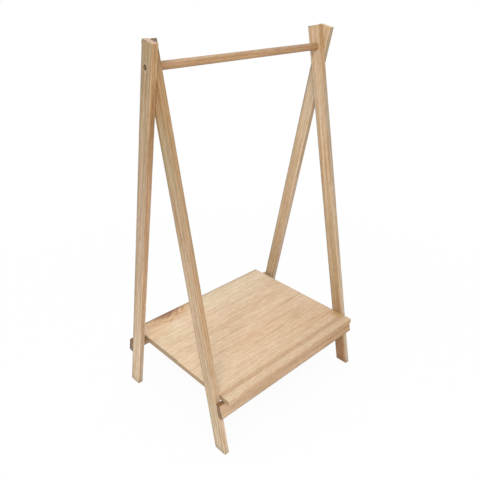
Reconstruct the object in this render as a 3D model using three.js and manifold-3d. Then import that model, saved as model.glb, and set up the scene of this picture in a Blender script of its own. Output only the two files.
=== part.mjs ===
// Open frame wardrobe: two slanted leg frames crossed near their tops, a round hanging bar bolted
// between the crossings, and a low shelf laid on a rail at the front and a rail at the back.
// Millimetres. +X runs along the bar to the right-hand end, -Y is the front and +Z is up.
// The origin is on the floor, straight under the middle of the bar.

import * as THREE from 'three';
import { mergeVertices } from 'three/addons/utils/BufferGeometryUtils.js';
import Module from 'manifold-3d';

const wasm = await Module();
wasm.setup();

// The frame: how high the pivot is, how far the legs lean and how wide the stand is inside
const pivotHeight = 1116;
const leanAngle = THREE.MathUtils.degToRad(11.5);
const legAbovePivot = 62;
const clearWidth = 600;

// Leg and rail battens. The pivot hole is nearer the leg's edge that carries the rail.
const legWidth = 43;
const legThickness = 18;
const pivotFromRailEdge = 18;
const railWidth = 48;
const railThickness = 18;
const battenEdgeRadius = 1.5;

// Shelf panel: it stands out past the line where it rests on each rail
const shelfTopHeight = 206;
const shelfThickness = 19;
const shelfOverhang = 20;
const shelfEndGap = 0.8;
const shelfEdgeRadius = 1.5;

// Hanging bar
const barDiameter = 22;
const barEndChamfer = 1;

// Gap between faces that touch, and all round a pin in its hole
const fitGap = 0.3;

// How far a cutting tool runs past the face that it opens
const cutOverrun = 5;

// Pivot bolt, its washer, the recess that hides its head and the threaded insert in the bar's end
const boltDiameter = 6;
const boltHeadDiameter = 10;
const boltHeadHeight = 6;
const boltHeadChamfer = 0.6;
const boltTipChamfer = 1;
const boltSocketAcross = 5;
const boltSocketDepth = 3;
const boltReachInBar = 22;
const washerDiameter = 12.4;
const washerThickness = 1.6;
const recessDiameter = 14;
const recessDepth = 8.6;
const insertDiameter = 10;
const insertLength = 24;
const insertLeadChamfer = 1.2;

// Dowels that pin each rail to a leg's edge, two to a joint
const dowelDiameter = 8;
const dowelChamfer = 1;
const dowelInLeg = 18;
const dowelInRail = 11.5;
const dowelSpacing = 22;

// Screws that hold the shelf down, driven up through each rail from a pocket in its lower edge
const screwDiameter = 4.5;
const screwHeadDiameter = 8.5;
const screwHeadHeight = 2.8;
const screwHeadChamfer = 0.7;
const screwTipLength = 5;
const screwSlotWidth = 1.2;
const screwSlotLength = 5;
const screwSlotDepth = 1.3;
const screwBite = 12;
const screwPocketDiameter = 10;
const screwPocketDepth = 12;
const screwEndInset = 90;

// Steps round a curve
const barSides = 48;
const pinSides = 24;
const edgeSteps = 3;
const hexSides = 6;

// Places worked out from the sizes above
const leanSin = Math.sin(leanAngle);
const leanCos = Math.cos(leanAngle);
const innerLegCentre = clearWidth / 2 + legThickness / 2;
const outerLegCentre = innerLegCentre + legThickness + fitGap;
const outerFace = outerLegCentre + legThickness / 2;
const shelfUnderside = shelfTopHeight - shelfThickness;
const holeDiameter = pin => pin + 2 * fitGap;

// In a leg frame's own axes the legs stand along Z, the rail is on the +Y side and the pivot is
// the origin. The frame is then tilted about X, which puts a point of the frame at this height:
// pivotHeight + y * leanSin + z * leanCos. Turned round, it gives the z of a height over the floor.
const zAtHeight = (y, height) => (height - pivotHeight - y * leanSin) / leanCos;

// The rail lies against the legs' edges, and the shelf rests on its rounded upper outer arris
const railEdge = pivotFromRailEdge;
const freeEdge = railEdge - legWidth;
const railInnerFace = railEdge + fitGap;
const railOuterFace = railInnerFace + railThickness;
const railMiddle = (railInnerFace + railOuterFace) / 2;
const arrisCentre = railOuterFace - battenEdgeRadius;
const arrisLevel = zAtHeight(arrisCentre, shelfUnderside - fitGap - battenEdgeRadius);
const railTop = arrisLevel + battenEdgeRadius;
const railBottom = railTop - railWidth;

// How far that arris stands out from the middle of the stand sets the depth of the shelf
const restingLine = arrisCentre * leanCos - arrisLevel * leanSin;
const shelfDepth = 2 * (restingLine + shelfOverhang);

const pale = { roughness: 0.62, metalness: 0 };
const legWood = new THREE.MeshStandardMaterial({ color: 0xd2b493, ...pale });
const railWood = new THREE.MeshStandardMaterial({ color: 0xcfae8a, ...pale });
const shelfWood = new THREE.MeshStandardMaterial({ color: 0xdfc39f, ...pale });
const barWood = new THREE.MeshStandardMaterial({ color: 0xc6976a, ...pale });
const dowelWood = new THREE.MeshStandardMaterial({ color: 0xd8bf98, ...pale });
const darkSteel = new THREE.MeshStandardMaterial({ color: 0x5c5046, roughness: 0.5, metalness: 1 });
const zincSteel = new THREE.MeshStandardMaterial({ color: 0xa9abad, roughness: 0.4, metalness: 1 });

// A closed geometry as a solid that can be cut
function solidOf(geometry) {
  const bare = geometry.clone();
  bare.deleteAttribute('normal');
  bare.deleteAttribute('uv');
  const merged = mergeVertices(bare);
  return new wasm.Manifold(new wasm.Mesh({
    numProp: 3,
    vertProperties: new Float32Array(merged.attributes.position.array),
    triVerts: new Uint32Array(merged.index.array),
  }));
}

// A geometry with the cutters taken out of it
function cut(geometry, cutters) {
  let solid = solidOf(geometry);
  for (const cutter of cutters) {
    solid = solid.subtract(solidOf(cutter));
  }
  const { vertProperties, triVerts } = solid.getMesh();
  const result = new THREE.BufferGeometry();
  result.setAttribute('position', new THREE.BufferAttribute(vertProperties, 3));
  result.setIndex(new THREE.BufferAttribute(triVerts, 1));
  result.computeVertexNormals();
  return result;
}

// A flat board with rounded arrises: the outline is drawn in its face, the thickness is along Z
function board(outline, thickness, edgeRadius) {
  const flat = thickness - 2 * edgeRadius;
  const geometry = new THREE.ExtrudeGeometry(new THREE.Shape(outline), {
    depth: flat,
    bevelThickness: edgeRadius,
    bevelSize: edgeRadius,
    bevelOffset: -edgeRadius,
    bevelSegments: edgeSteps,
  });
  return geometry.translate(0, 0, -flat / 2);
}

function rectangle(width, height) {
  const [x, y] = [width / 2, height / 2];
  return [
    new THREE.Vector2(-x, -y),
    new THREE.Vector2(x, -y),
    new THREE.Vector2(x, y),
    new THREE.Vector2(-x, y),
  ];
}

// A turned piece from points of radius and height, on the Z axis
function turned(profile, sides) {
  const points = profile.map(([radius, height]) => new THREE.Vector2(radius, height));
  return new THREE.LatheGeometry(points, sides).rotateX(Math.PI / 2);
}

// A straight hole cutter from one point to another
function drill(diameter, from, to) {
  const along = new THREE.Vector3().subVectors(to, from);
  const turn = new THREE.Quaternion().setFromUnitVectors(
    new THREE.Vector3(0, 1, 0), along.clone().normalize());
  const radius = diameter / 2;
  const middle = new THREE.Vector3().addVectors(from, to).multiplyScalar(0.5);
  return new THREE.CylinderGeometry(radius, radius, along.length(), pinSides)
    .applyQuaternion(turn)
    .translate(middle.x, middle.y, middle.z);
}

function named(name, geometry, material) {
  const mesh = new THREE.Mesh(geometry, material.clone());
  mesh.name = name;
  return mesh;
}

const sideName = side => (side < 0 ? 'left' : 'right');
const dowelHeights = [-1, 1].map(step => railTop - railWidth / 2 + step * dowelSpacing / 2);

// One leg: the top is cut square, the foot is cut level with the floor. recessSide is the side of
// the leg that the bolt's head is sunk into, or 0 on a leg that the bolt only passes through.
function leg(name, recessSide) {
  const outline = [
    new THREE.Vector2(freeEdge, zAtHeight(freeEdge, 0)),
    new THREE.Vector2(railEdge, zAtHeight(railEdge, 0)),
    new THREE.Vector2(railEdge, legAbovePivot),
    new THREE.Vector2(freeEdge, legAbovePivot),
  ];
  const standing = new THREE.Matrix4().makeBasis(
    new THREE.Vector3(0, 1, 0), new THREE.Vector3(0, 0, 1), new THREE.Vector3(1, 0, 0));
  const batten = board(outline, legThickness, battenEdgeRadius).applyMatrix4(standing);

  const face = legThickness / 2;
  const through = face + cutOverrun;
  const cutters = [
    drill(holeDiameter(boltDiameter), new THREE.Vector3(-through, 0, 0), new THREE.Vector3(through, 0, 0)),
  ];
  if (recessSide !== 0) {
    cutters.push(drill(recessDiameter,
      new THREE.Vector3(recessSide * (face - recessDepth), 0, 0),
      new THREE.Vector3(recessSide * through, 0, 0)));
  }
  for (const z of dowelHeights) {
    cutters.push(drill(holeDiameter(dowelDiameter),
      new THREE.Vector3(0, railEdge - dowelInLeg - fitGap, z),
      new THREE.Vector3(0, railEdge + cutOverrun, z)));
  }
  return named(name, cut(batten, cutters), legWood);
}

function railScrewPlaces(railLength) {
  const end = railLength / 2 - screwEndInset;
  return [-end, 0, end];
}

// A rail, bored for its dowels and for the screws that pull the shelf down on it
function rail(name, railLength, legCentre) {
  const upright = new THREE.Matrix4().makeBasis(
    new THREE.Vector3(1, 0, 0), new THREE.Vector3(0, 0, 1), new THREE.Vector3(0, -1, 0));
  const batten = board(rectangle(railLength, railWidth), railThickness, battenEdgeRadius)
    .applyMatrix4(upright)
    .translate(0, railMiddle, railTop - railWidth / 2);

  const cutters = [];
  for (const x of [-legCentre, legCentre]) {
    for (const z of dowelHeights) {
      cutters.push(drill(holeDiameter(dowelDiameter),
        new THREE.Vector3(x, railInnerFace - cutOverrun, z),
        new THREE.Vector3(x, railInnerFace + dowelInRail + fitGap, z)));
    }
  }
  for (const x of railScrewPlaces(railLength)) {
    const pocketTop = new THREE.Vector3(x, railMiddle, railBottom + screwPocketDepth);
    cutters.push(drill(screwPocketDiameter,
      new THREE.Vector3(x, railMiddle, railBottom - cutOverrun), pocketTop));
    cutters.push(drill(holeDiameter(screwDiameter),
      new THREE.Vector3(x, railMiddle, railBottom - cutOverrun),
      new THREE.Vector3(x, railMiddle, railTop + cutOverrun)));
  }
  return named(name, cut(batten, cutters), railWood);
}

function dowel(name, x, z) {
  const radius = dowelDiameter / 2;
  const length = dowelInLeg + fitGap + dowelInRail;
  const geometry = turned([
    [0, 0],
    [radius - dowelChamfer, 0],
    [radius, dowelChamfer],
    [radius, length - dowelChamfer],
    [radius - dowelChamfer, length],
    [0, length],
  ], pinSides);
  const mesh = named(name, geometry, dowelWood);
  mesh.rotation.x = -Math.PI / 2;
  mesh.position.set(x, railEdge - dowelInLeg, z);
  return mesh;
}

// A shelf screw stands head down in its pocket, with its tip in the shelf
const screwSeat = railBottom + screwPocketDepth - fitGap;
const screwTip = zAtHeight(railMiddle, shelfUnderside + screwBite);

function shelfScrew(name, x) {
  const headRadius = screwHeadDiameter / 2;
  const shankRadius = screwDiameter / 2;
  const length = screwTip - screwSeat;
  const body = turned([
    [0, -screwHeadHeight],
    [headRadius - screwHeadChamfer, -screwHeadHeight],
    [headRadius, screwHeadChamfer - screwHeadHeight],
    [headRadius, 0],
    [shankRadius, 0],
    [shankRadius, length - screwTipLength],
    [0, length],
  ], pinSides);
  const slot = new THREE.BoxGeometry(screwSlotLength, screwSlotWidth, 2 * screwSlotDepth)
    .translate(0, 0, -screwHeadHeight);
  const crossSlot = slot.clone().rotateZ(Math.PI / 2);
  const mesh = named(name, cut(body, [slot, crossSlot]), zincSteel);
  mesh.position.set(x, railMiddle, screwSeat);
  return mesh;
}

// A leg frame: two legs and the rail that ties them together low down, with its pins and screws.
// turnSide is 1 for the back frame and -1 for the front frame, which is turned half round.
function legFrame(place, turnSide, legCentre, recessed) {
  const frame = new THREE.Group();
  frame.position.z = pivotHeight;
  frame.rotation.set(leanAngle, 0, turnSide < 0 ? Math.PI : 0, 'ZYX');
  const railLength = 2 * legCentre + legThickness;

  for (const side of [-1, 1]) {
    const end = sideName(side * turnSide);
    const standingLeg = leg(`${end}_${place}_leg`, recessed ? side : 0);
    standingLeg.position.x = side * legCentre;
    frame.add(standingLeg);
    dowelHeights.forEach((z, level) => {
      const height = level === 0 ? 'lower' : 'upper';
      frame.add(dowel(`${end}_${place}_${height}_dowel`, side * legCentre, z));
    });
  }
  frame.add(rail(`${place}_rail`, railLength, legCentre));
  for (const x of railScrewPlaces(railLength)) {
    const spot = x === 0 ? 'middle' : sideName(x * turnSide);
    frame.add(shelfScrew(`${spot}_${place}_shelf_screw`, x));
  }
  frame.updateMatrix();
  return frame;
}

// The shelf panel, with a blind hole over each screw
function shelf(frames) {
  const length = clearWidth - 2 * shelfEndGap;
  const panel = board(rectangle(length, shelfDepth), shelfThickness, shelfEdgeRadius)
    .translate(0, 0, shelfTopHeight - shelfThickness / 2);
  const cutters = [];
  for (const { frame, railLength } of frames) {
    for (const x of railScrewPlaces(railLength)) {
      cutters.push(drill(holeDiameter(screwDiameter),
        new THREE.Vector3(x, railMiddle, railTop - cutOverrun),
        new THREE.Vector3(x, railMiddle, screwTip + fitGap)).applyMatrix4(frame.matrix));
    }
  }
  return named('shelf_panel', cut(panel, cutters), shelfWood);
}

// The hanging bar is turned with a blind hole in each end for the threaded insert
function hangingBar() {
  const end = clearWidth / 2 - fitGap;
  const radius = barDiameter / 2;
  const bore = holeDiameter(insertDiameter) / 2;
  const boreBottom = end - insertLength - 2 * fitGap;
  const geometry = turned([
    [0, -boreBottom],
    [bore, -boreBottom],
    [bore, -end],
    [radius - barEndChamfer, -end],
    [radius, barEndChamfer - end],
    [radius, end - barEndChamfer],
    [radius - barEndChamfer, end],
    [bore, end],
    [bore, boreBottom],
    [0, boreBottom],
  ], barSides).rotateY(Math.PI / 2);
  const bar = named('hanging_bar', geometry, barWood);
  bar.position.z = pivotHeight;
  return bar;
}

// The fastening at one end of the bar, along X from the recess in the outer leg to the insert.
// Each piece is made pointing inwards along +Z and then turned to lie along X.
function pivotFastening(side) {
  const end = sideName(side);
  const inwards = -side * Math.PI / 2;
  const barEnd = clearWidth / 2 - fitGap;
  const recessFloor = outerFace - recessDepth;
  const washerFace = recessFloor + fitGap + washerThickness;
  const headSeat = washerFace + fitGap;

  const place = (mesh, x) => {
    mesh.rotation.y = inwards;
    mesh.position.set(side * x, 0, pivotHeight);
    return mesh;
  };

  const headRadius = boltHeadDiameter / 2;
  const shankRadius = boltDiameter / 2;
  const boltLength = headSeat - barEnd + boltReachInBar;
  const boltBody = turned([
    [0, -boltHeadHeight],
    [headRadius - boltHeadChamfer, -boltHeadHeight],
    [headRadius, boltHeadChamfer - boltHeadHeight],
    [headRadius, 0],
    [shankRadius, 0],
    [shankRadius, boltLength - boltTipChamfer],
    [shankRadius - boltTipChamfer, boltLength],
    [0, boltLength],
  ], pinSides);
  const socketRadius = boltSocketAcross / Math.sqrt(3);
  const socket = new THREE.CylinderGeometry(socketRadius, socketRadius, 2 * boltSocketDepth, hexSides)
    .rotateX(Math.PI / 2)
    .translate(0, 0, -boltHeadHeight);
  const bolt = named(`${end}_pivot_bolt`, cut(boltBody, [socket]), darkSteel);

  const washerRadius = washerDiameter / 2;
  const washerBore = holeDiameter(boltDiameter) / 2;
  const washer = named(`${end}_bolt_washer`, turned([
    [washerBore, 0],
    [washerRadius, 0],
    [washerRadius, washerThickness],
    [washerBore, washerThickness],
    [washerBore, 0],
  ], pinSides), darkSteel);

  const insertRadius = insertDiameter / 2;
  const insert = named(`${end}_threaded_insert`, turned([
    [washerBore, 0],
    [insertRadius, 0],
    [insertRadius, insertLength - insertLeadChamfer],
    [insertRadius - insertLeadChamfer, insertLength],
    [washerBore, insertLength],
    [washerBore, 0],
  ], pinSides), zincSteel);

  return [
    place(bolt, headSeat),
    place(washer, washerFace),
    place(insert, barEnd - fitGap),
  ];
}

const backFrame = legFrame('back', 1, outerLegCentre, true);
const frontFrame = legFrame('front', -1, innerLegCentre, false);

const wardrobe = new THREE.Group();
wardrobe.add(backFrame, frontFrame);
wardrobe.add(shelf([
  { frame: backFrame, railLength: 2 * outerLegCentre + legThickness },
  { frame: frontFrame, railLength: 2 * innerLegCentre + legThickness },
]));
wardrobe.add(hangingBar());
for (const side of [-1, 1]) {
  wardrobe.add(...pivotFastening(side));
}

export default wardrobe;
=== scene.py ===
import math

import bmesh
import bpy
from mathutils import Euler, Matrix, Vector


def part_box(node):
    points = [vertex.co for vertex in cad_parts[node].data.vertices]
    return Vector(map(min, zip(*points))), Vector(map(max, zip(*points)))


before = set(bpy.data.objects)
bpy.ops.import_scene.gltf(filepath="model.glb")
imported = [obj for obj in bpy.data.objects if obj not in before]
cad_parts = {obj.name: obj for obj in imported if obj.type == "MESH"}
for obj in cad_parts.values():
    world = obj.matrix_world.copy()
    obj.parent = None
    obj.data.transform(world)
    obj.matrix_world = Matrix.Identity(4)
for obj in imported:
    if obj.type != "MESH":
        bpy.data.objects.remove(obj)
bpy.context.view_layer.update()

# An open frame wardrobe in solid pale wood: two leg frames crossed near their tops, a round bar
# between them and a low shelf. Metres, +X along the bar to the right, -Y to the front, +Z up.

# Sizes of the stand that the woods' patterns follow. The pivot lies off the middle of a leg, a
# leg's top is measured from it along the leg, and the bar's end from the middle of the bar.
lean_angle = math.radians(11.5)
pivot_height = 1.116
leg_top = 0.062
leg_width = 0.043
pivot_off_middle = 0.0035
batten_thickness = 0.018
rail_width = 0.048
shelf_depth = 0.4898
shelf_length = 0.5984
shelf_thickness = 0.019
bar_end = 0.2997
recess_radius = 0.007

# A back leg leans one way and a front leg the other
back = 1
front = -1

# The photograph's camera, from its measured edges
camera_place = (-1.04592, -1.07786, 1.30648)
camera_lens = 38.532
camera_sensor = 36
camera_pitch = math.radians(62.955)
camera_turn = math.radians(-43.466)
camera_roll = math.radians(0.178)

# Light: a soft sky, a broad lamp high over the left shoulder and another overhead. Each lamp has
# a place, the side of its square and its watts.
sky_strength = 0.81
lamps = (
    ("key_lamp", (-2.4, -2.0, 3.0), 2.0, 85),
    ("top_lamp", (0.3, 0.3, 4.2), 2.6, 24),
)
lamp_aim = (0, 0, 0.5)

# Seen straight, the floor is nearly all glow near the stand and all glow further off
floor_half_side = 14
floor_albedo = 0.82
floor_glow_share = 0.94
floor_fade = (0.8, 1.9)
white = (1, 1, 1, 1)


def colour(red, green, blue):
    """A colour written as it looks on a screen, 0 to 255, as the shader takes it."""
    def linear(level):
        share = level / 255
        return share / 12.92 if share <= 0.04045 else ((share + 0.055) / 1.055) ** 2.4
    return (linear(red), linear(green), linear(blue), 1)


def tint(red, green, blue):
    """A filter of colour: how much of each light the wood still gives back."""
    return (red, green, blue, 1)


class Value:
    """A number that changes over a surface. Sums and products of values add Math nodes."""

    def __init__(self, surface, socket):
        self.surface = surface
        self.socket = socket

    def maths(self, operation, *terms):
        return self.surface.add("ShaderNodeMath", {"operation": operation}, dict(enumerate(terms)))

    def __add__(self, other):
        return self.maths("ADD", self, other)

    def __radd__(self, other):
        return self.maths("ADD", other, self)

    def __sub__(self, other):
        return self.maths("SUBTRACT", self, other)

    def __rsub__(self, other):
        return self.maths("SUBTRACT", other, self)

    def __mul__(self, other):
        return self.maths("MULTIPLY", self, other)

    def __rmul__(self, other):
        return self.maths("MULTIPLY", other, self)

    def __truediv__(self, other):
        return self.maths("DIVIDE", self, other)

    def __abs__(self):
        return self.maths("ABSOLUTE", self)

    def root(self):
        return self.maths("SQRT", self)

    def fraction(self):
        return self.maths("FRACT", self)

    def larger(self, other):
        return self.maths("MAXIMUM", self, other)

    def past(self, limit):
        """1 where the value is over the limit, otherwise 0, with no step between."""
        return self.maths("GREATER_THAN", self, limit)

    def between(self, low, high):
        """0 up to low, 1 from high on, with a soft step between them."""
        return self.surface.add(
            "ShaderNodeMapRange", {"interpolation_type": "SMOOTHSTEP"},
            {"Value": self, "From Min": low, "From Max": high})

    def hump(self, rise, fall):
        """Rises from 0 to 1 between the first two limits and falls back between the last two."""
        return self.between(*rise) * (1 - self.between(*fall))

    def band(self, low, high, softness):
        """1 between low and high, 0 outside, with soft edges."""
        return self.hump((low - softness, low + softness), (high - softness, high + softness))


class Surface:
    """The nodes of a material, or of the sky, while they are being built."""

    # The output of a Mix node that gives a colour
    mixed_colour = 2

    def __init__(self, owner):
        owner.use_nodes = True
        self.owner = owner
        self.tree = owner.node_tree
        self.tree.nodes.clear()

    def add(self, kind, settings, sockets, output=0):
        """Adds a node: its settings first, then what each socket takes, a constant or a value."""
        node = self.tree.nodes.new(kind)
        for name, setting in settings.items():
            setattr(node, name, setting)
        for name, taken in sockets.items():
            if isinstance(taken, Value):
                self.tree.links.new(taken.socket, node.inputs[name])
            else:
                node.inputs[name].default_value = taken
        return Value(self, node.outputs[output])

    def mix(self, share, first, second):
        """The first colour where the share is 0, the second where it is 1."""
        return self.add(
            "ShaderNodeMix", {"data_type": "RGBA"},
            {"Factor": share, "A": first, "B": second}, self.mixed_colour)

    def filter(self, share, tone, tint_of):
        """The tone as it is where the share is 0, and through the tint where it is 1."""
        return self.add(
            "ShaderNodeMix", {"data_type": "RGBA", "blend_type": "MULTIPLY"},
            {"Factor": share, "A": tone, "B": tint_of}, self.mixed_colour)

    def coordinates(self, place=(0, 0, 0), turn=(0, 0, 0)):
        """Three values: a point's place on the object, centred and turned to lie along a piece."""
        point = self.add("ShaderNodeTexCoord", {}, {}, "Object")
        point = self.add(
            "ShaderNodeMapping", {"vector_type": "TEXTURE"},
            {"Vector": point, "Location": place, "Rotation": turn})
        return [self.add("ShaderNodeSeparateXYZ", {}, {0: point}, axis) for axis in "XYZ"]

    def point(self, x, y, z):
        return self.add("ShaderNodeCombineXYZ", {}, {"X": x, "Y": y, "Z": z})

    def noise(self, point, detail, roughness=0.5):
        return self.add(
            "ShaderNodeTexNoise", {},
            {"Vector": point, "Scale": 1.0, "Detail": detail, "Roughness": roughness})

    def bump(self, height, strength, distance):
        return self.add(
            "ShaderNodeBump", {},
            {"Strength": strength, "Distance": distance, "Height": height}, "Normal")

    def seen_straight(self):
        """1 for what the camera sees itself, in a gloss or through a clear piece."""
        camera, gloss, clear = [
            self.add("ShaderNodeLightPath", {}, {}, ray)
            for ray in ("Is Camera Ray", "Is Glossy Ray", "Is Transmission Ray")]
        return camera.larger(gloss).larger(clear)

    def finish(self, shader, ending="ShaderNodeOutputMaterial"):
        output = self.tree.nodes.new(ending)
        self.tree.links.new(shader.socket, output.inputs["Surface"])
        return self.owner


# Layers of streaks along the grain: a streak's width and length in metres, the noise's detail,
# roughness and shift, and the two levels between which the layer comes in
broad_layer = (0.012, 0.5, 2.0, 0.5, 0.0, 0.4, 0.62)
line_layer = (0.0042, 0.26, 2.0, 0.55, 5.0, 0.5, 0.72)
pale_layer = (0.006, 0.34, 1.0, 0.5, 13.0, 0.52, 0.74)
fibre_layer = (0.0023, 0.032, 2.0, 0.65, 9.0, 0.36, 0.66)
pore_layer = (0.0008, 0.012, 1.0, 0.5, 4.0, 0.6, 0.74)
mottle_layer = (0.010, 0.045, 3.0, 0.6, 27.0, 0.35, 0.68)
fleck_layer = (0.009, 0.016, 2.0, 0.55, 43.0, 0.40, 0.64)
tick_layer = (0.016, 0.0045, 2.0, 0.6, 31.0, 0.5, 0.68)

# Streaks that bend an outline, which have no levels, and the middle that the noise keeps round.
# The rest is as above.
noise_middle = 0.5
ring_bends = (0.05, 0.5, 2.0, 0.5, 7.3)
mark_bends = (0.012, 0.06, 3.0, 0.6, 21.0)
knot_bends = (0.014, 0.03, 3.0, 0.6, 11.0)

# Growth rings: their spacing, how far they wander, and where in a ring the wood darkens and where
# it is pale again
ring_gap = 0.0052
ring_wander = 0.007
ring_darkens = (0.1, 0.8)
ring_pales = (0.86, 1.0)

# An arris: how far into both its faces it reaches, where it counts in full, and from how many
# faces nearby a point lies on one. The border lies beside it on a wide face.
arris_reach = 0.0032
arris_full = 0.0008
arris_faces = (1.25, 1.85)
border_reach = 0.010
middle_softness = 0.002

# How far in from a narrow face the wood takes that face's tone, a little and in full
edge_reach = 0.0011
edge_full = 0.0004

# Wood sawn across: how squarely a face looks along the grain, and the vessels that open in it
sawn_facing = (0.75, 0.95)
vessel_size = 0.0016
vessel_detail = 3.0
vessel_roughness = 0.6
vessel_levels = (0.45, 0.68)

# The shelf's staves: their pitch, each glue joint's place from the middle, and how much deeper in
# its log the next stave lies
stave_pitch = 0.083
glue_joints = (
    (-0.1185, 0.021), (-0.0355, -0.034), (0.0475, 0.026), (0.1305, -0.019), (0.2135, 0.03))
glue_line = 0.0003
glue_share = 0.5


class Grain:
    """Where a point lies in its piece: along the grain and across it, in metres.

    The cut says how the piece lies in its log: its place and turn on the stand, the axis that the
    grain follows, and the pith, which is how far off the log's heart lies across and how it slopes.
    A piece with arrises also gives half its width and thickness, where its ends are along the
    grain, and which sides of its middle the greyed arris lies on.
    """

    def __init__(self, surface, cut, seed):
        self.surface = surface
        self.cut = cut
        self.seed = seed
        x, y, z = surface.coordinates(cut["place"], cut["turn"])
        self.along, self.wide, self.thick = (x, y, z) if cut["axis"] == "X" else (z, y, x)
        self.wide = self.wide - cut.get("off_middle", 0)
        self.board_wide = self.wide
        self.board_thick = self.thick
        for joint, deeper in cut.get("glue_joints", ()):
            over = self.wide.past(joint)
            self.board_wide = self.board_wide - over * stave_pitch
            self.board_thick = self.board_thick + over * deeper

    def streaks(self, across, length, detail, roughness, shift):
        """Noise drawn out along the grain, from 0 to 1, with a streak's usual width and length."""
        point = self.surface.point(
            self.board_wide / across + self.seed, self.board_thick / across + shift,
            self.along / length)
        return self.surface.noise(point, detail, roughness)

    def layer(self, across, length, detail, roughness, shift, low, high):
        """Streaks that are 0 up to their low level and 1 from their high one on."""
        return self.streaks(across, length, detail, roughness, shift).between(low, high)

    def bends(self, streaks):
        """Streaks that go as far under 0 as over it, to make an outline ragged."""
        return self.streaks(*streaks) - noise_middle

    def rings(self):
        """Growth rings round the pith: a slow darkening and a quick return, from 0 to 1."""
        pith_wide, pith_thick, slope = self.cut["pith"]
        wander = self.streaks(*ring_bends) * ring_wander
        wide = self.board_wide - pith_wide
        thick = self.board_thick - pith_thick + self.along * slope
        radius = (wide * wide + thick * thick).root() + wander
        return (radius / ring_gap).fraction().hump(ring_darkens, ring_pales)

    def near(self, across, half):
        """1 close to a pair of faces that lie this far from the middle."""
        return abs(across).between(half - arris_reach, half - arris_full)

    def arris(self):
        """1 on the piece's rounded edges."""
        wide_half, thick_half = self.cut["half"]
        low, high = self.cut["ends"]
        near = self.near(self.wide, wide_half) + self.near(self.thick, thick_half)
        near = near + self.along.between(high - arris_reach, high - arris_full)
        near = near + 1 - self.along.between(low + arris_full, low + arris_reach)
        return near.between(*arris_faces)

    def greyed_side(self):
        """1 on the sides of the middle where the one long arris tinted grey lies."""
        wide_side, thick_side = self.cut["greyed"]
        return (
            (self.wide * wide_side).between(-middle_softness, middle_softness)
            * (self.thick * thick_side).between(-middle_softness, middle_softness))

    def border(self):
        """1 along the long sides of a piece's wide faces, falling to 0 a little way in."""
        wide_half, thick_half = self.cut["half"]
        across, half = (self.wide, wide_half) if wide_half > thick_half else (self.thick, thick_half)
        return abs(across).between(half - border_reach, half - arris_reach)

    def edge(self):
        """1 on the narrow faces of a leg and on the shelf's front and back."""
        half = self.cut["half"][0]
        return abs(self.wide).between(half - edge_reach, half - edge_full)

    def end_grain(self):
        """1 on faces sawn across the grain."""
        axis = Vector((1, 0, 0)) if self.cut["axis"] == "X" else Vector((0, 0, 1))
        axis.rotate(Euler(self.cut["turn"]))
        normal = self.surface.add("ShaderNodeTexCoord", {}, {}, "Normal")
        facing = self.surface.add(
            "ShaderNodeVectorMath", {"operation": "DOT_PRODUCT"}, {0: normal, 1: axis}, "Value")
        return abs(facing).between(*sawn_facing)

    def vessels(self):
        """The open vessels that show as specks where the wood is sawn across."""
        point = self.surface.point(
            self.wide / vessel_size, self.thick / vessel_size, self.along / vessel_size)
        return self.surface.noise(point, vessel_detail, vessel_roughness).between(*vessel_levels)


# How the wood changes colour, as filters over its own tone
broad_tint = tint(0.88, 0.84, 0.78)
line_tint = tint(0.76, 0.68, 0.58)
pale_tint = tint(1.12, 1.12, 1.13)
ring_tint = tint(0.84, 0.77, 0.68)
fibre_tint = tint(0.85, 0.80, 0.74)
pore_tint = tint(0.62, 0.54, 0.46)
mottle_tint = tint(0.93, 0.90, 0.87)
vessel_tint = tint(0.72, 0.66, 0.60)
# A painted highlight on the rounded arrises, and a darker grey for one long arris and the border
# beside it
arris_painted_highlight = tint(1.12, 1.10, 1.08)
arris_grey = tint(0.46, 0.52, 0.57)
border_grey = tint(0.85, 0.88, 0.90)

# How much of each filter shows. The rings and fibres show a little even in wood with no figure.
plain_share = 0.25
ring_figure = 0.3
fibre_figure = 0.75
pore_share = 0.6
arris_share = 0.6
sawn_share = 0.85

# The wood's gloss, and what fibres, pores and sawn ends take from it
wood_reflection = 0.35
wood_roughness = 0.54
fibre_roughness = 0.14
pore_roughness = 0.15
sawn_roughness = 0.12

# The wood's relief: what stands up, what lies low, and how deep it all goes in metres
fibre_height = 0.5
line_height = 0.3
ring_depth = 0.25
pore_depth = 0.9
relief_strength = 0.35
relief_distance = 0.0003


def tone_along(grain, stops):
    """The wood's own colour, which changes slowly along a piece. A stop is a place and a colour."""
    tone = stops[0][1]
    for (start, _), (end, shade) in zip(stops, stops[1:]):
        tone = grain.surface.mix(grain.along.between(start, end), tone, shade)
    return tone


def arris_highlights_and_grey(grain, tone):
    """Painted highlights pale the arrises; one long arris, and the border beside it, is tinted
    darker grey.
    """
    surface = grain.surface
    arris = grain.arris()
    greyed = grain.greyed_side()
    tone = surface.filter(arris * grain.cut.get("arris_highlight_share", arris_share), tone, arris_painted_highlight)
    tone = surface.filter(arris * greyed, tone, arris_grey)
    return surface.filter(grain.border() * greyed, tone, border_grey)


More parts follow.
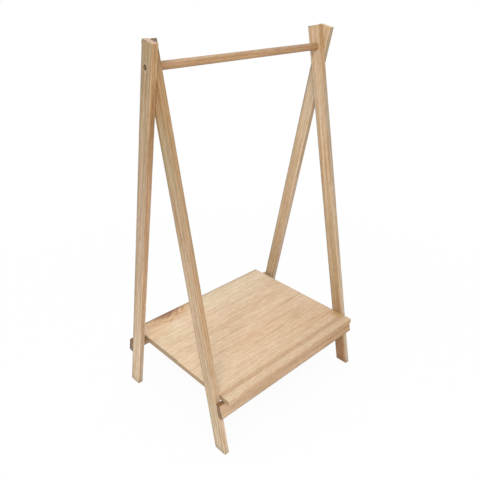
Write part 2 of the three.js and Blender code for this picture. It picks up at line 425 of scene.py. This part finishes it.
def solid_wood(name, cut, seed, stops, end_tone, figure=1.0, edge_stops=None, marks=None):
    """Solid wood of one piece: its own rings, streaks, fibres and pores, cut anywhere."""
    surface = Surface(bpy.data.materials.new(name))
    grain = Grain(surface, cut, seed)

    rings = grain.rings()
    broad = grain.layer(*broad_layer)
    line = grain.layer(*line_layer)
    pale = grain.layer(*pale_layer)
    fibre = grain.layer(*fibre_layer)
    pores = grain.layer(*pore_layer)
    mottle = grain.layer(*mottle_layer)

    tone = tone_along(grain, stops)
    if edge_stops:
        tone = surface.mix(grain.edge(), tone, tone_along(grain, edge_stops))
    tone = surface.filter(broad * figure, tone, broad_tint)
    tone = surface.filter(line * figure, tone, line_tint)
    tone = surface.filter(pale * figure, tone, pale_tint)
    tone = surface.filter(rings * (plain_share + figure * ring_figure), tone, ring_tint)
    tone = surface.filter(fibre * (plain_share + figure * fibre_figure), tone, fibre_tint)
    tone = surface.filter(mottle, tone, mottle_tint)
    if marks:
        tone = marks(grain, tone)
    tone = surface.filter(pores * pore_share, tone, pore_tint)
    if "half" in cut:
        tone = arris_highlights_and_grey(grain, tone)
    end_grain = grain.end_grain()
    sawn = surface.filter(grain.vessels(), end_tone, vessel_tint)
    tone = surface.mix(end_grain * sawn_share, tone, sawn)

    height = fibre * fibre_height + line * line_height - rings * ring_depth - pores * pore_depth
    rough = (
        wood_roughness + fibre * fibre_roughness + pores * pore_roughness
        + end_grain * sawn_roughness)
    shader = surface.add(
        "ShaderNodeBsdfPrincipled", {},
        {"Base Color": tone, "Roughness": rough,
         "Normal": surface.bump(height, relief_strength, relief_distance),
         "Specular IOR Level": wood_reflection})
    return surface.finish(shader)


# A leg's foot is greyed up from the floor and has no rounded arris, so its end is put far below
foot_grey = tint(0.78, 0.80, 0.80)
foot_grey_full = 0.002
foot_grey_height = 0.03
below_the_foot = -2
leg_figure = 1.1

# Painted highlights on the arrises: strong on the left legs, where the light falls most, faint on
# the right legs
left_arris_share = 1.0
right_arris_share = 0.1

# A paler ring round the bolt's recess, and painted shade, brown, on the wall of the recess itself
halo_radius = 0.012
halo_softness = 0.001
halo_pale = tint(1.17, 1.18, 1.24)
recess_outer_radius = 0.0074
recess_share = 0.85
recess_painted_shade = colour(108, 90, 66)


def leg_cut(node, side, pith):
    """How a leg lies in its log."""
    low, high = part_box(node)
    return {
        "place": ((low.x + high.x) / 2, 0, pivot_height),
        "turn": (side * lean_angle, 0, 0),
        "axis": "Z",
        "off_middle": -side * pivot_off_middle,
        "half": (leg_width / 2, batten_thickness / 2),
        "ends": (below_the_foot, leg_top),
        "greyed": (1, -1),
        "arris_highlight_share": left_arris_share if low.x < 0 else right_arris_share,
        "pith": pith,
    }


def foot_darkening(grain, tone):
    """The leg is greyer and darker for its last few centimetres above the floor."""
    height = grain.surface.coordinates()[2]
    above = height.between(foot_grey_full, foot_grey_height)
    return grain.surface.filter(1 - above, tone, foot_grey)


def bolt_halo(grain, tone):
    """The wood is paler in a ring round the recess, and the recess's wall is brown with painted
    shade.
    """
    across = grain.wide + grain.cut["off_middle"]
    away = (across * across + grain.along * grain.along).root()
    halo = away.band(recess_radius, halo_radius, halo_softness)
    tone = grain.surface.filter(halo, tone, halo_pale)
    # Painted shade on the wall of the recess
    wall = 1 - away.between(recess_radius, recess_outer_radius)
    return grain.surface.mix(wall * recess_share, tone, recess_painted_shade)


def back_leg_marks(grain, tone):
    """The back legs are the outer ones, which hold the bolts' heads."""
    return bolt_halo(grain, foot_darkening(grain, tone))


# Painted shade on the rail's top at its left end: how far in full, and how far at all
rail_shade_full = 0.04
rail_shade_end = 0.05
rail_top_reach = 0.0012
rail_top_painted_shade = tint(0.42, 0.34, 0.26)
rail_figure = 0.8


def rail_cut(node, side, pith):
    """How a rail lies in its log."""
    low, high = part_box(node)
    return {
        "place": (low + high) / 2,
        "turn": (side * lean_angle, 0, 0),
        "axis": "X",
        "half": (batten_thickness / 2, rail_width / 2),
        "ends": ((low.x - high.x) / 2, (high.x - low.x) / 2),
        "greyed": (-1, -1),
        "pith": pith,
    }


def rail_painted_shade(grain, tone):
    """Painted shade on the rail's top in the corner beside the left leg, under the shelf's end,
    where the shelf doesn't cover it.
    """
    top = grain.thick.between(rail_width / 2 - rail_top_reach, rail_width / 2 - edge_full)
    left = grain.cut["ends"][0]
    inwards = grain.along.between(left + rail_shade_full, left + rail_shade_end)
    return grain.surface.filter(top * (1 - inwards), tone, rail_top_painted_shade)


# The dark strip along the shelf's front edge, and the band that is left in front of it
strip_front = -0.2195
strip_back = -0.2022
strip_softness = 0.0012
strip_brown = tint(0.825, 0.745, 0.70)
band_fade = (-0.223, -0.219)
band_dim = tint(0.95, 0.95, 0.955)

# The shelf from front to back: a little dimmer in front, paler behind, dim at its back edge. Each
# fade is the two places across the shelf between which the tone changes.
front_fade = (-0.2, -0.1)
front_dim = tint(0.96, 0.96, 0.95)
rear_fade = (0.05, 0.2)
rear_pale = tint(1.07, 1.15, 1.20)
back_edge_fade = (0.225, 0.243)
back_edge_dim = tint(0.81, 0.80, 0.81)

# Soft marks in the shelf: middle, half length along the grain, half width, and how strong. A
# mark's fade is how far out it begins to go and is gone, where 1 is its half length or width.
shelf_lines = (
    (0.150, 0.064, 0.150, 0.006, 0.55),
    (-0.065, 0.031, 0.085, 0.006, 0.5),
    (-0.260, 0.031, 0.060, 0.006, 0.5),
    (0.215, -0.006, 0.095, 0.006, 0.65),
    (0.000, -0.012, 0.060, 0.005, 0.5),
    (-0.060, -0.101, 0.070, 0.004, 0.4),
    (0.170, -0.082, 0.055, 0.034, 0.45),
    (0.120, -0.120, 0.260, 0.120, 0.25),
)
shelf_blushes = (
    (0.000, -0.075, 0.170, 0.026, 0.7),
    (0.180, -0.150, 0.110, 0.040, 0.5),
    (0.260, -0.165, 0.035, 0.020, 0.8),
    (-0.090, 0.150, 0.090, 0.045, 0.6),
)
shelf_ambers = (
    (-0.270, 0.176, 0.085, 0.042, 0.9),
)
shelf_brown = tint(0.86, 0.80, 0.73)
shelf_blush = tint(1.0, 0.93, 0.90)
shelf_amber = tint(0.98, 0.86, 0.77)
fleck_brown = tint(0.945, 0.925, 0.905)
mark_raggedness = 0.8
mark_fade = (0.3, 1.2)

# Painted shadow of the right front leg on the shelf's corner beside it, brown with light bounced off
# the leg
corner_place = (0.318, -0.190)
corner_reach = (0.066, 0.034)
corner_raggedness = 0.3
corner_fade = (0.45, 1.0)
corner_share = 0.9
corner_shadow_brown = colour(178, 142, 97)

# The knot on the back edge: a glow round it, rings, a dark heart, and short ticks across
knot_place = (-0.172, 0.252)
knot_reach = (0.162, 0.082)
knot_raggedness = 0.3
knot_fade = (0.45, 1.05)
knot_glow = tint(0.97, 0.82, 0.68)
knot_glow_share = 0.9
knot_rings = 7
knot_ring_bend = 1.5
knot_ring_darkens = (0.15, 0.75)
knot_ring_pales = (0.8, 1.0)
knot_ring_brown = tint(0.80, 0.66, 0.56)
knot_ring_share = 0.8
heart_fade = (0.22, 0.52)
heart_raggedness = 0.12
heart_brown = colour(122, 76, 60)
heart_share = 0.68
tick_brown = tint(0.70, 0.53, 0.45)
tick_share = 0.4

# Strokes in the grain that fan out from the knot: middle, half length, half width, turn, strength
knot_strokes = (
    (-0.168, 0.222, 0.034, 0.0045, 30, 0.9),
    (-0.142, 0.213, 0.028, 0.0050, 49, 0.7),
    (-0.180, 0.194, 0.020, 0.0055, 36, 0.7),
    (-0.101, 0.228, 0.018, 0.0060, 40, 0.7),
)
stroke_brown = tint(0.70, 0.64, 0.56)
stroke_raggedness = 1.2
stroke_fade = (0.3, 1.1)


def apart(grain, middle, reach, turn=0.0):
    """How far a point lies from a place on a board, in reaches along and across the grain."""
    along = grain.along - middle[0]
    wide = grain.wide - middle[1]
    if turn:
        along, wide = (
            along * math.cos(turn) + wide * math.sin(turn),
            wide * math.cos(turn) - along * math.sin(turn))
    along = along / reach[0]
    wide = wide / reach[1]
    return (along * along + wide * wide).root()


def soft_marks(grain, tone, ragged):
    """The shelf's soft lines, its blushes and its amber patch."""
    kinds = (
        (shelf_lines, shelf_brown), (shelf_blushes, shelf_blush), (shelf_ambers, shelf_amber))
    for marks, shade in kinds:
        for x, y, length, width, strength in marks:
            away = apart(grain, (x, y), (length, width)) + ragged * mark_raggedness
            tone = grain.surface.filter((1 - away.between(*mark_fade)) * strength, tone, shade)
    return tone


def glue_lines(grain, tone):
    """A fine dark line where two staves meet."""
    for joint, _ in glue_joints:
        joined = grain.wide.band(joint - glue_line, joint + glue_line, glue_line)
        tone = grain.surface.filter(joined * glue_share, tone, line_tint)
    return tone


def front_to_back(grain, tone):
    """How the shelf's tone changes from its front edge to its back edge."""
    surface = grain.surface
    upper = grain.thick.between(0.0, shelf_thickness / 2)
    strip = grain.wide.band(strip_front, strip_back, strip_softness) * upper
    tone = surface.filter(strip, tone, strip_brown)
    tone = surface.filter(1 - grain.wide.between(*band_fade), tone, band_dim)
    tone = surface.filter(grain.wide.between(*back_edge_fade), tone, back_edge_dim)
    tone = surface.filter(grain.wide.between(*rear_fade), tone, rear_pale)
    return surface.filter(1 - grain.wide.between(*front_fade), tone, front_dim)


def corner_painted_shadow(grain, tone, ragged):
    """Paints the right front leg's shadow, brown with light bounced off the leg, on the shelf's
    corner.
    """
    away = apart(grain, corner_place, corner_reach) + ragged * corner_raggedness
    corner = 1 - away.between(*corner_fade)
    return grain.surface.mix(corner * corner_share, tone, corner_shadow_brown)


def knot(grain, tone):
    """The knot: its glow, rings and heart, and the strokes and ticks round it."""
    surface = grain.surface
    ripple = grain.bends(knot_bends)
    away = apart(grain, knot_place, knot_reach) + ripple * knot_raggedness
    glow = 1 - away.between(*knot_fade)
    swirl = (away * knot_rings + ripple * knot_ring_bend).fraction()
    swirl = swirl.hump(knot_ring_darkens, knot_ring_pales) * glow
    ticks = grain.layer(*tick_layer)
    tone = surface.filter(glow * knot_glow_share, tone, knot_glow)
    tone = surface.filter(swirl * knot_ring_share, tone, knot_ring_brown)
    heart = 1 - (away - ticks * heart_raggedness).between(*heart_fade)
    tone = surface.mix(heart * heart_share, tone, heart_brown)
    for x, y, length, width, turn, strength in knot_strokes:
        away = apart(grain, (x, y), (length, width), math.radians(turn))
        away = away + ripple * stroke_raggedness
        tone = surface.filter((1 - away.between(*stroke_fade)) * strength, tone, stroke_brown)
    return surface.filter(glow * ticks * tick_share, tone, tick_brown)


def shelf_marks(grain, tone):
    """What this board shows besides its grain, one thing over another."""
    ragged = grain.bends(mark_bends)
    tone = soft_marks(grain, tone, ragged)
    tone = glue_lines(grain, tone)
    tone = grain.surface.filter(grain.layer(*fleck_layer), tone, fleck_brown)
    tone = front_to_back(grain, tone)
    tone = corner_painted_shadow(grain, tone, ragged)
    return knot(grain, tone)


def shelf_material():
    """The shelf's board, with its tones from left to right."""
    low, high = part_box("shelf_panel")
    cut = {
        "place": (0, 0, (low.z + high.z) / 2),
        "turn": (0, 0, 0),
        "axis": "X",
        "half": (shelf_depth / 2, shelf_thickness / 2),
        "ends": (-shelf_length / 2, shelf_length / 2),
        "greyed": (1, 1),
        "pith": (-0.16, -0.075, 0.02),
        "glue_joints": glue_joints,
    }
    stops = (
        (-0.3, colour(223, 202, 174)), (-0.1, colour(223, 199, 171)),
        (0.1, colour(220, 196, 168)), (0.3, colour(217, 193, 166)))
    edge_stops = (
        (-0.3, colour(220, 190, 158)), (0.0, colour(213, 180, 147)),
        (0.3, colour(202, 168, 132)))
    return solid_wood(
        "shelf_wood", cut, seed=41.0, stops=stops, end_tone=colour(158, 133, 105), figure=0.4,
        edge_stops=edge_stops, marks=shelf_marks)


# The bar's tones: a grey painted sheen on top and below, and at its right-hand end a browner stain
# deepened with painted shade where it meets the leg
bar_top_fade = (-0.001, 0.009)
bar_top_painted_sheen = tint(0.87, 0.97, 1.14)
bar_under_fade = (-0.009, -0.003)
bar_under_painted_sheen = tint(0.95, 1.02, 1.10)
bar_end_fade = (bar_end - 0.045, bar_end - 0.02)
bar_end_stain_and_shade = tint(0.98, 0.90, 0.68)


def bar_marks(grain, tone):
    """Painted sheen greys the bar's top and underside; its right-hand end is a browner stain
    deepened with painted shade.
    """
    surface = grain.surface
    tone = surface.filter(grain.thick.between(*bar_top_fade), tone, bar_top_painted_sheen)
    tone = surface.filter(1 - grain.thick.between(*bar_under_fade), tone, bar_under_painted_sheen)
    return surface.filter(grain.along.between(*bar_end_fade), tone, bar_end_stain_and_shade)


def bar_material():
    """The round bar's wood. A turned piece has no arris, so its cut gives no half sizes."""
    cut = {
        "place": (0, 0, pivot_height), "turn": (0, 0, 0), "axis": "X",
        "pith": (0.05, -0.03, 0.03)}
    stops = (
        (-0.3, colour(186, 150, 114)), (-0.02, colour(198, 162, 123)),
        (0.12, colour(184, 148, 112)), (0.3, colour(180, 144, 110)))
    return solid_wood(
        "bar_wood", cut, seed=63.0, stops=stops, end_tone=colour(170, 130, 92), marks=bar_marks)


def dowel_material():
    """Pale, straight wood for every dowel."""
    cut = {
        "place": (0, 0, 0), "turn": (0, 0, 0), "axis": "Z",
        "pith": (0.4, 0.3, 0.01)}
    stops = ((-0.3, colour(224, 200, 166)), (0.3, colour(220, 196, 164)))
    return solid_wood("dowel_wood", cut, seed=5.0, stops=stops, end_tone=colour(196, 164, 126))


# Steel: its duller spots, and the fine lines that the lathe left
spot_size = 0.002
spot_detail = 3.0
spot_levels = (0.35, 0.7)
spot_roughness = 0.2
lathe_pitch = 0.0004
lathe_length = 0.004
lathe_detail = 2.0
lathe_strength = 0.2
lathe_distance = 0.0001


def steel(name, bright, dull, roughness, metallic):
    """Plated or browned steel, brushed a little by the tools that turned it."""
    surface = Surface(bpy.data.materials.new(name))
    x, y, z = surface.coordinates()
    spots = surface.noise(surface.point(x / spot_size, y / spot_size, z / spot_size), spot_detail)
    turning = surface.noise(
        surface.point(x / lathe_pitch, y / lathe_length, z / lathe_length), lathe_detail)
    tone = surface.mix(spots.between(*spot_levels), bright, dull)
    shader = surface.add(
        "ShaderNodeBsdfPrincipled", {},
        {"Base Color": tone, "Metallic": metallic, "Roughness": roughness + spots * spot_roughness,
         "Normal": surface.bump(turning, lathe_strength, lathe_distance)})
    return surface.finish(shader)


def dress(node, material):
    """Gives a node of the frame its finish."""
    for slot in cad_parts[node].material_slots:
        slot.material = material


def dress_leg(node, side, seed, pith, wide, edge, end_tone, marks):
    """A leg's wood, with its tones along the wide faces and along the narrow edges."""
    dress(node, solid_wood(
        node + "_wood", leg_cut(node, side, pith), seed, wide, end_tone, leg_figure, edge, marks))


def dress_legs():
    """Each leg's tones, from the foot up. A place along a leg is measured from the pivot."""
    # The left legs grow paler towards the foot, partly in the wood's own tone and partly as painted
    # light
    dress_leg(
        "left_back_leg", back, seed=11.0, pith=(0.03, 0.06, 0.02),
        wide=(
            (-1.05, colour(217, 198, 171)), (-0.8, colour(206, 187, 162)),
            (-0.45, colour(197, 177, 155)), (-0.12, colour(184, 163, 136)),
            (0.0, colour(169, 149, 119))),
        edge=(
            (-1.05, colour(209, 188, 166)), (-0.7, colour(206, 180, 152)),
            (-0.4, colour(195, 162, 131)), (-0.2, colour(181, 147, 111)),
            (-0.02, colour(189, 157, 117))),
        end_tone=colour(188, 166, 148), marks=back_leg_marks)
    # Its edges darken at their very top, and its top end is dark: painted shadow where the back
    # leg's top shades it
    dress_leg(
        "left_front_leg", front, seed=17.0, pith=(-0.04, 0.07, -0.015),
        wide=(
            (-1.05, colour(210, 192, 166)), (-0.75, colour(206, 184, 158)),
            (-0.4, colour(189, 166, 138)), (-0.2, colour(176, 158, 128)),
            (-0.06, colour(179, 148, 111))),
        edge=(
            (-1.05, colour(214, 191, 165)), (-0.7, colour(196, 165, 130)),
            (-0.4, colour(181, 156, 126)), (-0.1, colour(176, 147, 109)),
            (0.040, colour(176, 147, 109)), (0.056, colour(142, 126, 110))),
        end_tone=colour(118, 101, 84), marks=foot_darkening)
    # This leg is darker at its foot, below the shelf: painted shade under the shelf
    dress_leg(
        "right_front_leg", front, seed=23.0, pith=(0.05, -0.03, 0.03),
        wide=(
            (-1.06, colour(180, 142, 108)), (-0.83, colour(193, 169, 137)),
            (-0.6, colour(198, 177, 146)), (-0.35, colour(207, 182, 152)),
            (-0.12, colour(212, 191, 164)), (0.0, colour(214, 189, 160))),
        edge=(
            (-1.05, colour(204, 186, 165)), (-0.6, colour(205, 187, 165)),
            (-0.2, colour(186, 171, 151)), (0.0, colour(192, 160, 121))),
        end_tone=colour(212, 184, 152), marks=foot_darkening)
    # Just under the crossing this leg's face is given painted light against the shade that the front
    # leg casts there
    dress_leg(
        "right_back_leg", back, seed=29.0, pith=(-0.05, -0.04, 0.02),
        wide=(
            (-0.85, colour(195, 174, 143)), (-0.6, colour(208, 184, 155)),
            (-0.3, colour(212, 192, 164)), (-0.1, colour(201, 183, 159)),
            (0.04, colour(208, 186, 154))),
        edge=(
            (-0.85, colour(206, 187, 169)), (-0.2, colour(194, 172, 144)),
            (-0.04, colour(182, 162, 134))),
        end_tone=colour(214, 186, 154), marks=back_leg_marks)


def dress_rail(node, side, seed, pith, stops, end_tone):
    """A rail's wood, with its tones from left to right."""
    dress(node, solid_wood(
        node + "_wood", rail_cut(node, side, pith), seed, stops, end_tone, rail_figure,
        marks=rail_painted_shade))


def dress_rails():
    # The rails' sawn ends are dark: end grain, deepened with painted shade
    dress_rail(
        "front_rail", front, seed=35.0, pith=(0.05, 0.06, 0.02),
        stops=(
            (-0.3, colour(212, 184, 154)), (0.05, colour(208, 178, 148)),
            (0.3, colour(194, 159, 123))),
        end_tone=colour(115, 88, 58))
    dress_rail(
        "back_rail", back, seed=37.0, pith=(0.06, -0.05, 0.02),
        stops=((-0.3, colour(200, 168, 132)), (0.3, colour(206, 174, 140))),
        end_tone=colour(101, 88, 75))


def dress_pins():
    """Every bolt and washer is browned, every insert and screw is zinc, every dowel is wood."""
    browned = steel(
        "browned_steel", colour(130, 108, 76), colour(99, 82, 58), roughness=0.5, metallic=0.3)
    zinc = steel(
        "zinc_steel", colour(196, 196, 194), colour(164, 165, 166), roughness=0.3, metallic=1.0)
    dowel_wood = dowel_material()
    finishes = {
        "_bolt": browned, "_washer": browned, "_insert": zinc, "_screw": zinc,
        "_dowel": dowel_wood}
    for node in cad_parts:
        for ending, finish in finishes.items():
            if node.endswith(ending):
                dress(node, finish)


def floor_material():
    """A pale floor that the camera sees as white, with the stand's shadow left on it."""
    surface = Surface(bpy.data.materials.new("floor_white"))
    x, y, _ = surface.coordinates()
    far = (x * x + y * y).root().between(*floor_fade)
    glow_share = (floor_glow_share + far * (1 - floor_glow_share)) * surface.seen_straight()
    matt = surface.add(
        "ShaderNodeBsdfDiffuse", {}, {"Color": (floor_albedo, floor_albedo, floor_albedo, 1)})
    glow = surface.add("ShaderNodeEmission", {}, {"Color": white, "Strength": 1.0})
    return surface.finish(surface.add("ShaderNodeMixShader", {}, {0: glow_share, 1: matt, 2: glow}))


def lay_floor():
    """One flat square under the stand, which isn't part of it."""
    sheet = bmesh.new()
    bmesh.ops.create_grid(sheet, x_segments=1, y_segments=1, size=floor_half_side)
    mesh = bpy.data.meshes.new("floor")
    sheet.to_mesh(mesh)
    sheet.free()
    floor = bpy.data.objects.new("floor", mesh)
    bpy.context.scene.collection.objects.link(floor)
    mesh.materials.append(floor_material())


def light_sky():
    """A white sky: full white where it is seen straight, softer as a light."""
    world = bpy.data.worlds.new("studio")
    bpy.context.scene.world = world
    surface = Surface(world)
    strength = sky_strength + surface.seen_straight() * (1 - sky_strength)
    sky = surface.add("ShaderNodeBackground", {}, {"Color": white, "Strength": strength})
    surface.finish(sky, "ShaderNodeOutputWorld")


def hang_lamp(name, place, side, power):
    """A square soft lamp that looks at the middle of the stand."""
    lamp = bpy.data.lights.new(name, "AREA")
    lamp.shape = "SQUARE"
    lamp.size = side
    lamp.energy = power
    holder = bpy.data.objects.new(name, lamp)
    holder.location = place
    towards = Vector(lamp_aim) - Vector(place)
    holder.rotation_euler = towards.to_track_quat("-Z", "Y").to_euler()
    bpy.context.scene.collection.objects.link(holder)


def set_camera():
    """The camera stands, points and rolls as the photograph's did."""
    camera = bpy.data.cameras.new("photo_camera")
    camera.sensor_width = camera_sensor
    camera.lens = camera_lens
    holder = bpy.data.objects.new("photo_camera", camera)
    holder.location = camera_place
    aimed = Euler((camera_pitch, 0, camera_turn)).to_matrix()
    holder.rotation_euler = (aimed @ Matrix.Rotation(camera_roll, 3, "Z")).to_euler()
    bpy.context.scene.collection.objects.link(holder)
    bpy.context.scene.camera = holder


bpy.context.scene.view_settings.view_transform = "Standard"
set_camera()
light_sky()
for lamp in lamps:
    hang_lamp(*lamp)
lay_floor()
dress_legs()
dress_rails()
dress("shelf_panel", shelf_material())
dress("hanging_bar", bar_material())
dress_pins()
